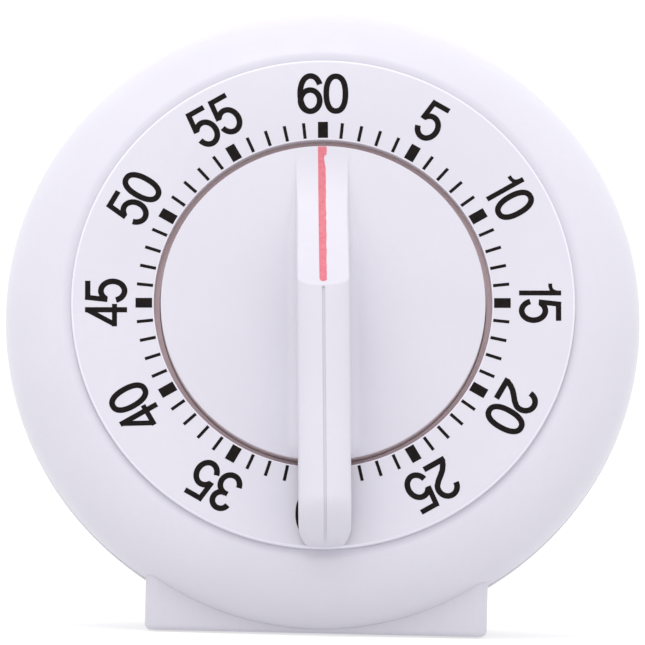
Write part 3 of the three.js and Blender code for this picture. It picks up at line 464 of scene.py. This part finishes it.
def foot(inset):
    """The foot's outside, rounded below, or with an inset its inside, from the floor up."""
    if inset:
        levels = [FOOT_FLOOR, FOOT_STEP, FOOT_TOP - inset]
        return in_dial_frame(loft([foot_ring(z, inset, 0) for z in levels]))
    levels = [0, 0.02, 0.08, 0.18, 0.32, 0.5, FOOT_ROUND, 3, 4.6, FOOT_STEP, 5.4, 9, 13, FOOT_TOP]
    return in_dial_frame(loft([foot_ring(z, 0, FOOT_ROUND) for z in levels]))


def screw_tube(floor, at):
    top, shoulder = SEAM - BOSS_DROP - GAP, SCREW_SEAT + 2.4
    return ring_solid([
        (0, floor - 0.5), (SCREW_TUBE_R, floor - 0.5), (SCREW_TUBE_R, shoulder),
        (BOSS_R, shoulder), (BOSS_R, top), (0, top)], 32, at)


def screw_bore(at):
    """The deep hole for a case screw, with a chamfered mouth and a seat for the screw's head."""
    return ring_solid([
        (0, BACK - 1), (SCREW_HEAD_R + 0.6, BACK - 1), (SCREW_HEAD_R, BACK + 0.35),
        (SCREW_HEAD_R, SCREW_SEAT), (SCREW_SHANK_R, SCREW_SEAT), (SCREW_SHANK_R, SEAM),
        (0, SEAM)], 40, at)


def sound_slot(y, floor):
    """One slot with round ends. Its mouth is wider, so that its outer edge is softened."""
    half = math.sqrt(SLOT_REACH**2 - y * y)

    def level(r, z):
        ends = arc(half, y, r, r, -90, 90, 10) + arc(-half, y, r, r, 90, 270, 10)
        return [(a, b, z) for a, b in ends]

    mouth = SLOT_HALF + SLOT_MOUTH
    return loft([
        level(mouth, BACK - SLOT_MOUTH), level(mouth, BACK),
        level(SLOT_HALF, BACK + SLOT_MOUTH), level(SLOT_HALF, floor + 1),
    ])


def rear_housing():
    """The rear shell with its foot, screw tubes, seam lip and the slots that let the bell out."""
    slope = math.tan(LEAN)
    lean = math.degrees(LEAN)
    floor = BACK + WALL

    def bulge(radius, start, steps):
        return arc(CASE_R - EDGE_R, 0, radius, radius, start, -lean, steps)

    seam_angle = math.degrees(math.asin((SEAM - 0.2) / EDGE_R))
    skin = bulge(EDGE_R, seam_angle, 12)
    start_r, start_z = skin[-1]
    edge_z = BACK + BACK_EDGE
    edge_r = start_r - (start_z - edge_z) * slope - BACK_EDGE
    skin += arc(edge_r, edge_z, BACK_EDGE, BACK_EDGE, -lean, -90, 14)
    lip_out, lip_top = CASE_R - WALL - LIP_INSET, SEAM + LIP_RISE
    lip_in = lip_out - LIP_THICK
    shell = ring_solid([
        (0, lip_top), (lip_out - 0.15, lip_top), (lip_out, lip_top - 0.15), (lip_out, SEAM - 0.2),
        (skin[0][0] - 0.05, SEAM - 0.2), *skin, (0, BACK)])
    in_r, in_z = bulge(EDGE_R - WALL, 0, 8)[-1]

    def inner_radius(z):
        return in_r - (in_z - z) * slope

    hollow = ring_solid([
        (0, 12), (lip_in, 12), (lip_in, SEAM - 1.6), (inner_radius(SEAM - 3.6), SEAM - 3.6),
        (inner_radius(floor + 1.5), floor + 1.5), (inner_radius(floor) - 1.2, floor), (0, floor)])
    snug = 0.012
    room = arc(SHOULDER_AT, 0, SHOULDER_R + snug, SHOULDER_H + snug, 0, 60, 30)
    room = ring_solid([
        (lip_out + 0.17, SEAM - 0.22), (CASE_R + snug, SEAM - 0.22), *room, (lip_in - 1, 8.5),
        (lip_in - 1, lip_top + 0.02), (lip_out + 0.17, lip_top + 0.02)])
    join(shell, foot(0))
    cut(shell, hollow, foot(FOOT_WALL), room)
    for at in boss_points():
        join(shell, screw_tube(floor, at))
    cut(shell, gathered([screw_bore(at) for at in boss_points()]))
    cut(shell, gathered([sound_slot(y, floor) for y in SLOT_ROWS]))
    cut(shell, in_dial_frame(block((-45, -45, -20), (45, 45, 0))))
    finished(shell, "rear_housing_shell", "case", REAR_WHITE, "rear_housing")


def dial_plate():
    """The raised ring that carries the print, on three pegs, with a painted highlight on its rounded
    edges.
    """
    low, edge, bore_edge = FACE - DIAL_THICK, DIAL_EDGE, DIAL_BORE_EDGE
    ring = ring_solid([
        (DIAL_IN, low), (DIAL_OUT, low),
        *arc(DIAL_OUT - edge, FACE - edge, edge, edge, 0, 90, 8),
        *arc(DIAL_IN + bore_edge, FACE - bore_edge, bore_edge, bore_edge, 90, 180, 4),
    ])
    join(ring, gathered([rod(PEG_R, low - 2, low + 0.2, at=polar(PEG_AT, a)) for a in THIRDS]))
    finished(ring, "dial_plate_fine", "case", DIAL_WHITE, "dial_plate")

    # Painted highlight: faces on the dial plate's rounded outer and bore edges get the lighter edge
    # white.
    def on_an_edge(r, z):
        return z > FACE - 0.36 and (r > DIAL_OUT - 0.2 or r < DIAL_IN + 0.13)

    repaint(ring, EDGE_HIGHLIGHT_WHITE, on_an_edge)


# ------------------------------------------------------------------ print on the dial

DIGIT_W, DIGIT_H, STROKE = 2.98, 5.02, 0.69
DIGIT_FOOT, DIGIT_GAP, GAP_AFTER_ONE = 23.36, 0.15, 0.42
MARK_IN, MARK_OUT = 20.38, 22.36
FIVE_MARK_HALF, MARK_HALF = 0.6, 0.19
INK_RISE = 0.02


def oval(cx, cy, rx, ry, start, end, steps, power=2.3):
    """Points on a superellipse, squarer than an ellipse."""
    points = []
    for i in range(steps + 1):
        a = math.radians(start + (end - start) * i / steps)
        c, s = math.cos(a), math.sin(a)
        points.append((
            cx + rx * math.copysign(abs(c) ** (2 / power), c),
            cy + ry * math.copysign(abs(s) ** (2 / power), s),
        ))
    return points


def digit_strokes(digit):
    """A digit's strokes as lines of points, each with its width, and the digit's own width."""
    h = STROKE / 2
    if digit == "0":
        return [(oval(DIGIT_W / 2, 2.5, DIGIT_W / 2 - h, 2.5 - h, 0, 360, 64), STROKE)], DIGIT_W
    if digit == "1":
        flag = [(0.0, 3.72), (0.4, 3.74), (0.75, 3.86), (0.98, 4.15), (1.1, 4.6)]
        return [([(1.16, 0), (1.16, DIGIT_H)], 0.6), (flag, 0.46)], 1.46
    if digit == "2":
        top = arc(1.46, 3.46, 1.15, 1.23, 176, -30, 26)
        tail = [(2.02, 2.36), (1.5, 1.95), (1.0, 1.5), (0.62, 0.98), (0.42, 0.5), (0.36, 0.3)]
        return [(top + tail, STROKE), ([(0.06, h), (2.86, h)], STROKE)], 2.9
    if digit == "3":
        top = arc(1.42, 3.67, 1.0, 1.02, 172, -75, 28)
        low = arc(1.42, 1.5, 1.13, 1.19, 90, -172, 34)
        return [(top, STROKE), (low, STROKE), ([(1.1, 2.66), (1.6, 2.66)], 0.62)], 2.88
    if digit == "4":
        return [
            ([(2.06, 0), (2.06, DIGIT_H)], 0.64),
            ([(0.02, 1.5), (2.78, 1.5)], 0.6),
            ([(0.28, 1.5), (2.04, 4.72)], 0.6),
        ], 2.78
    if digit == "5":
        bowl = arc(1.46, 1.72, 1.17, 1.41, 196, 506, 44)
        return [
            (bowl, STROKE),
            ([(0.68, DIGIT_H), (0.38, 2.34)], 0.62),
            ([(0.45, DIGIT_H - 0.32), (2.7, DIGIT_H - 0.32)], 0.64),
        ], 2.92
    back = oval(1.56, 2.5, 1.25, 2.19, 30, 262, 44, 2.15)
    bowl = arc(1.5, 1.63, 1.15, 1.32, 0, 360, 48)
    return [(back, STROKE), (bowl, STROKE)], 2.94


def ribbon(points, width):
    """The quads of a stroke of one width along a line of points."""
    sides = []
    for i, (x, y) in enumerate(points):
        ax, ay = points[max(i - 1, 0)]
        bx, by = points[min(i + 1, len(points) - 1)]
        if i in (0, len(points) - 1) and math.dist(points[0], points[-1]) < 1e-6:
            (ax, ay), (bx, by) = points[-2], points[1]
        length = math.hypot(bx - ax, by - ay)
        nx, ny = -(by - ay) / length * width / 2, (bx - ax) / length * width / 2
        sides.append(((x + nx, y + ny), (x - nx, y - ny)))
    return [[a, b, d, c] for (a, b), (c, d) in zip(sides, sides[1:])]


def flat_union(polygons):
    """Overlapping flat polygons as one set of triangles."""
    points, faces = [], []
    for polygon in polygons:
        faces.append([len(points) + i for i in range(len(polygon))])
        points += [Vector(p) for p in polygon]
    verts, _, triangles, _, _, sources = delaunay_2d_cdt(points, [], faces, 1, 1e-5)
    return verts, [t for t, source in zip(triangles, sources) if source]


def slab(verts, triangles, bottom, top):
    """Flat triangles as a thin closed solid."""
    count = len(verts)
    edges = {}
    for t in triangles:
        for a, b in zip(t, t[1:] + t[:1]):
            edges[(a, b)] = edges.get((a, b), 0) + 1
    walls = [[a, b, b + count, a + count] for a, b in edges if (b, a) not in edges]
    faces = [[i + count for i in t] for t in triangles] + [list(reversed(t)) for t in triangles]
    used = sorted({i for face in faces for i in face})
    index = {old: new for new, old in enumerate(used)}
    spots = [(v.x, v.y, z) for z in (bottom, top) for v in verts]
    return solid([spots[i] for i in used], [[index[i] for i in f] for f in faces + walls])


def on_dial(points, minutes):
    """Points drawn with the dial's sixty mark upwards, turned to their minute."""
    turn = math.radians(ROLL - minutes * 6)
    c, s = math.cos(turn), math.sin(turn)
    return [(x * c - y * s, x * s + y * c) for x, y in points]


def numeral(text, minutes, nudge=0.0):
    """One printed number, centred on its minute and moved sideways by nudge."""
    strokes = [digit_strokes(d) for d in text]
    gaps = [GAP_AFTER_ONE if d == "1" else DIGIT_GAP for d in text]
    total = sum(width for _, width in strokes) + sum(gaps[:-1])
    x, polygons = nudge - total / 2, []
    for (lines, width), gap in zip(strokes, gaps):
        for line, thickness in lines:
            moved = [(px + x, py + DIGIT_FOOT) for px, py in line]
            polygons += [on_dial(q, minutes) for q in ribbon(moved, thickness)]
        x += width + gap
    piece = slab(*flat_union(polygons), FACE - INK_RISE, FACE + INK_RISE)
    finished(piece, f"numeral_{text}", "case", INK, sharp=60)


def minute_marks():
    polygons = []
    for minute in range(60):
        on_five = minute % 5 == 0
        half = FIVE_MARK_HALF if on_five else MARK_HALF
        outer = MARK_OUT if on_five else MARK_OUT - 0.05
        box = [(-half, MARK_IN), (half, MARK_IN), (half, outer), (-half, outer)]
        polygons.append(on_dial(box, minute))
    piece = slab(*flat_union(polygons), FACE - INK_RISE, FACE + INK_RISE)
    finished(piece, "minute_marks", "case", INK, sharp=60)


# ------------------------------------------------------------------ knob

RIM_Y = KNOB_R - 0.2
RISE = GRIP_TOP - KNOB_TOP
RAMP_R = (RIM_Y**2 + RISE**2) / (2 * RISE)
FILLET, GRIP_EDGE, GROOVE_DEEP, GROOVE_START = 1.45, 0.3, 0.2, -0.3
CROWN_DROP = 1.0
TONGUE_START = -18.87  # from here down the grip bar leaves the disc and reaches over the dial
NOSE_Y, NOSE_DROP = -25.6, 7.0
NOSE_CORNER = (1.55, 2.9)


def ramp_height(y):
    """The hollow ramp: an arc that is level at the rim and climbs to the bar's top."""
    return KNOB_TOP + RAMP_R - math.sqrt(RAMP_R**2 - (RIM_Y - max(y, 0)) ** 2)


def soft_min(a, b, blend):
    """The lower of two heights, with the corner where they cross rounded off."""
    h = max(blend - abs(a - b), 0) / blend
    return min(a, b) - h * h * blend / 4


def grip_top(x, y):
    """The height of the grip bar: crowned from side to side, hollow ramp above, round nose below."""
    crown = GRIP_TOP - CROWN_DROP * abs(x / 3.05) ** 3
    if y < NOSE_Y:
        u = min(1.0, (NOSE_Y - y) / (NOSE_Y - GRIP_END))
        crown -= NOSE_DROP * (1 - math.sqrt(1 - u * u))
    if y > -1.5:
        slope_top = ramp_height(y) if y > 0 else GRIP_TOP - y * 1.22
        crown = soft_min(crown, slope_top, 0.22)
    return max(crown, KNOB_TOP + 0.004)


def grip_half(y):
    """Half the bar's width, narrowing in an ellipse at its lower end."""
    a, b = NOSE_CORNER
    if y < GRIP_END + b:
        u = min(1.0, (GRIP_END + b - y) / b)
        return GRIP_HALF - a + a * math.sqrt(1 - u * u)
    return GRIP_HALF


def grip_section(y):
    """One cross-section of the grip bar with its fillets, from the left foot round to the right."""
    w = grip_half(y)
    height = min(grip_top(w - GRIP_EDGE, y), GRIP_TOP) - KNOB_TOP
    on_disc = min(1.0, max(0.0, (y + 18.86) / 1.3))
    fillet = max(0.012, min(FILLET, 0.5 * height) * on_disc)
    edge = min(GRIP_EDGE, 0.25 * height)
    base, foot_z = (8.4, KNOB_TOP) if y > TONGUE_START else (GRIP_UNDER, GRIP_UNDER + 0.4)
    side = [(w + fillet + 0.03, base), (w + fillet + 0.02, foot_z - 0.015)]
    side += [
        (w + fillet - fillet * math.sin(a), foot_z + fillet - fillet * math.cos(a))
        for a in (math.radians(d) for d in (12, 24, 36, 48, 60, 72, 84, 90))
    ]
    xs = [w - edge + edge * math.sin(math.radians(d)) for d in (90, 75, 60, 45, 30, 15, 0)]
    xs += [w * s for s in (0.86, 0.8, 0.72, 0.62, 0.5, 0.38, 0.26)] + [0.3, 0.19]
    for x in xs:
        over = max(0.0, x - (w - edge))
        side.append((x, grip_top(x, y) - (edge - math.sqrt(max(0.0, edge * edge - over * over)))))
    steep = (grip_top(0, y + 0.02) - grip_top(0, y - 0.02)) / 0.04
    deep = GROOVE_DEEP * min(3.0, math.hypot(1, steep)) if y < GROOVE_START else 0.0
    bottom = grip_top(0.08, y) - deep
    side += [(0.15, bottom + min(0.05, deep)), (0.1, bottom)]
    return [(-x, y, z) for x, z in side] + [(x, y, z) for x, z in reversed(side)]


def spread(start, end, count):
    return [start + (end - start) * i / count for i in range(count)]


def grip():
    """The bar as a loft along y, with its sections closer together where its shape turns."""
    quarter = [math.pi / 2 * i / 26 for i in range(26)]
    nose = [GRIP_END + (NOSE_Y - GRIP_END) * (1 - math.cos(a)) for a in quarter]
    stations = (
        nose + spread(NOSE_Y, -18.88, 10) + [-18.88, -18.865]
        + spread(-18.85, -18.45, 6) + spread(-18.45, -0.5, 22) + [-0.36, -0.3]
        + spread(-0.25, 3.2, 44) + spread(3.2, 18.7, 40) + [18.7]
    )
    return loft([grip_section(y) for y in stations])


def grip_hollow():
    """The space under the bar, open below, an even wall inside its skin."""
    wall = 1.4
    centre_z = KNOB_TOP + RAMP_R
    ramp = [(y, centre_z - math.sqrt((RAMP_R + wall) ** 2 - (RIM_Y - y) ** 2))
            for y in spread(1.0, 15.0, 12)]
    top = GRIP_TOP - wall
    nose = arc(GRIP_END + 3, GRIP_TOP - 3.4, 1.6, 1.6, 180, 90, 6)
    outline = [(GRIP_END + wall, 5), *nose, (0.7, top), *ramp, (13, 5)]
    return side_prism(outline, GRIP_HALF - wall)


def knob():
    """The disc and its skirt, the grip bar hollowed from below, and the hub with its D bore."""
    ceiling = KNOB_TOP - KNOB_WALL
    inner, edge = KNOB_R - KNOB_WALL, KNOB_EDGE
    body = ring_solid([
        (0, ceiling), (inner, ceiling), (inner, KNOB_SKIRT), (KNOB_R - 0.1, KNOB_SKIRT),
        (KNOB_R, KNOB_SKIRT + 0.1),
        *arc(KNOB_R - edge, KNOB_TOP - edge, edge, edge, 0, 90, 8), (0, KNOB_TOP),
    ])
    join(body, grip())
    cut(body, grip_hollow())
    join(body, rod(HUB_R, WELL_BOTTOM + 0.4, ceiling + 0.3, 48))
    join(body, block((-2.4, -3.2, ceiling), (2.4, 3.2, HUB_TOP)))
    flat = 180 - math.degrees(math.asin(BORE_FLAT / BORE_R))
    bore = arc(0, 0, BORE_R, BORE_R, flat, 540 - flat, 30)
    cut(body, prism(bore, 0, HUB_TOP + 0.2))
    turn_knob(body)
    finished(body, "knob_fine", "knob_and_arbor", KNOB_WHITE, "knob", 28)
    # Painted shade: the knob's side wall under its rim takes the warm painted gap shade.
    repaint(body, GAP_SHADE_WHITE, lambda r, z: r > KNOB_R - 0.05 and KNOB_SKIRT < z < KNOB_TOP - 0.1)


def turn_knob(piece):
    piece.data.transform(Matrix.Rotation(math.radians(KNOB_TURN), 4, "Z"))
    return piece


LINE_START, LINE_END, LINE_STEPS, LINE_LEFT, LINE_BLOB = 19.3, 0.42, 130, -0.47, 1.03


def line_height(y):
    if y <= KNOB_R - KNOB_EDGE:
        return grip_top(0.3, y)
    over = y - KNOB_R + KNOB_EDGE
    return KNOB_TOP - KNOB_EDGE + math.sqrt(max(0, KNOB_EDGE**2 - over**2))


def line_width(y):
    """The line starts as a wider blob at the rim, thins out and widens again down the ramp."""
    width = LINE_BLOB if y > 18.2 else 0.70 + 0.2 * min(1, (18.2 - y) / 1.6)
    return max(width, LINE_BLOB - 0.2 * (LINE_START - y)) if y > 17.4 else width


def wandering(seed):
    """A smooth random value from -1 to 1 along y."""
    rng = random.Random(seed)
    wander = [rng.uniform(-1, 1) for _ in range(60)]

    def wobble(y):
        t = y * 1.7 + 4
        i = int(t)
        f = t - i
        f = f * f * (3 - 2 * f)
        return wander[i] * (1 - f) + wander[i + 1] * f

    return wobble


def pointer_line():
    """The painted line down the ramp: one straight edge, one wandering edge, a rounded end."""
    wobble, tip = wandering(7), 0.42
    sections = []
    for i in range(LINE_STEPS + 1):
        y = LINE_START + (LINE_END - LINE_START) * i / LINE_STEPS
        z, width, taper = line_height(y), line_width(y), 1.0
        if y < LINE_END + tip:
            taper = math.sqrt(max(0.04, 1 - ((LINE_END + tip - y) / tip) ** 2))
        left, right = LINE_LEFT * taper, (width + LINE_LEFT) * taper
        if taper == 1.0:
            right = left + width + 0.035 * wobble(y)
        low, high = z - 0.05, z + 0.018
        sections.append([(left, y, low), (left, y, high), (right, y, high), (right, y, low)])
    finished(turn_knob(loft(sections)), "pointer_line", "knob_and_arbor", RED, sharp=50)


# ------------------------------------------------------------------ metal parts inside

BRASS_NODES = {
    "front_plate", "back_plate", "zero_cam", "great_wheel", "spring_barrel", "barrel_cover",
    "second_wheel", "third_wheel", "escape_wheel", "balance_wheel", "strike_wheel", "hammer_head",
}
SPRING_NODES = {"click_spring", "mainspring", "hairspring", "release_spring"}
PLASTIC_NODES = {"front_housing", "rear_housing", "dial_plate", "knob"}


def finish_metal_nodes():
    for name, node in NODES.items():
        if name in PLASTIC_NODES:
            continue
        material = STEEL
        if name in BRASS_NODES:
            material = BRASS
        elif name in SPRING_NODES:
            material = SPRING_STEEL
        elif name == "bell":
            material = NICKEL
        node.data.materials.clear()
        node.data.materials.append(material)


# ------------------------------------------------------------------ studio

FLOOR_HALF, FLOOR_Z = 5, -0.0002
DOME_LOW, DOME_HIGH = 0.50, 1.59
SOFTBOX_AT, SOFTBOX_AIM = (-0.15, -0.6, 1.15), (0, 0, 0.037)
SOFTBOX_SIZE, SOFTBOX_POWER = 0.8, 3.7


def pale_floor():
    mesh = bpy.data.meshes.new("floor")
    corners = [(x * FLOOR_HALF, y * FLOOR_HALF, FLOOR_Z) for x, y in ((-1, -1), (1, -1), (1, 1), (-1, 1))]
    mesh.from_pydata(corners, [], [(0, 1, 2, 3)])
    floor = bpy.data.objects.new("floor", mesh)
    bpy.context.scene.collection.objects.link(floor)
    nodes = Nodes("pale_floor")
    nodes.shader.inputs["Base Color"].default_value = (0.42, 0.42, 0.42, 1)
    nodes.shader.inputs["Emission Color"].default_value = (1, 1, 1, 1)
    nodes.shader.inputs["Emission Strength"].default_value = 0.56
    nodes.shader.inputs["Roughness"].default_value = 0.9
    nodes.shader.inputs["Specular IOR Level"].default_value = 0.0
    mesh.materials.append(nodes.material)


def soft_dome():
    """Even white light from all round, stronger from above."""
    world = bpy.data.worlds.new("soft_dome")
    world.use_nodes = True
    bpy.context.scene.world = world
    tree = world.node_tree
    background = tree.nodes["Background"]
    background.inputs["Color"].default_value = (1, 1, 1, 1)
    coords = tree.nodes.new("ShaderNodeTexCoord")
    parts = tree.nodes.new("ShaderNodeSeparateXYZ")
    height = tree.nodes.new("ShaderNodeMapRange")
    heights = {"From Min": -1, "From Max": 1, "To Min": DOME_LOW, "To Max": DOME_HIGH}
    for key, value in heights.items():
        height.inputs[key].default_value = value
    tree.links.new(coords.outputs["Generated"], parts.inputs["Vector"])
    tree.links.new(parts.outputs["Z"], height.inputs["Value"])
    tree.links.new(height.outputs["Result"], background.inputs["Strength"])


def key_softbox():
    data = bpy.data.lights.new("key_softbox", "AREA")
    data.shape, data.size, data.energy = "DISK", SOFTBOX_SIZE, SOFTBOX_POWER
    lamp = bpy.data.objects.new("key_softbox", data)
    lamp.location = SOFTBOX_AT
    lamp.rotation_mode = "QUATERNION"
    aim = Vector(SOFTBOX_AIM) - Vector(SOFTBOX_AT)
    lamp.rotation_quaternion = aim.to_track_quat("-Z", "Y")
    bpy.context.scene.collection.objects.link(lamp)


def camera():
    """A long lens, a touch above the middle of the case. It sees width metres at the dial."""
    distance, width, rise, sensor = 1.6, 0.0773, math.radians(0.6), 36
    data = bpy.data.cameras.new("camera")
    data.sensor_width = sensor
    data.lens = sensor * distance / width
    data.clip_start, data.clip_end = 0.05, 50
    view = bpy.data.objects.new("camera", data)
    back, up = distance * math.cos(rise), distance * math.sin(rise)
    view.location = (-0.00002, ORIGIN.y / 1000 - back, ORIGIN.z / 1000 + up - 0.0001)
    look = Matrix.Rotation(math.pi / 2 - rise, 3, "X") @ Matrix.Rotation(math.radians(ROLL), 3, "Z")
    view.rotation_euler = look.to_euler()
    bpy.context.scene.collection.objects.link(view)
    bpy.context.scene.camera = view


front_housing()
rear_housing()
dial_plate()
minute_marks()
for minutes in range(5, 65, 5):
    numeral(str(minutes), minutes, 0.3 if minutes == 30 else 0.0)
knob()
pointer_line()
finish_metal_nodes()
pale_floor()
soft_dome()
key_softbox()
camera()
bpy.context.scene.view_settings.view_transform = "Standard"
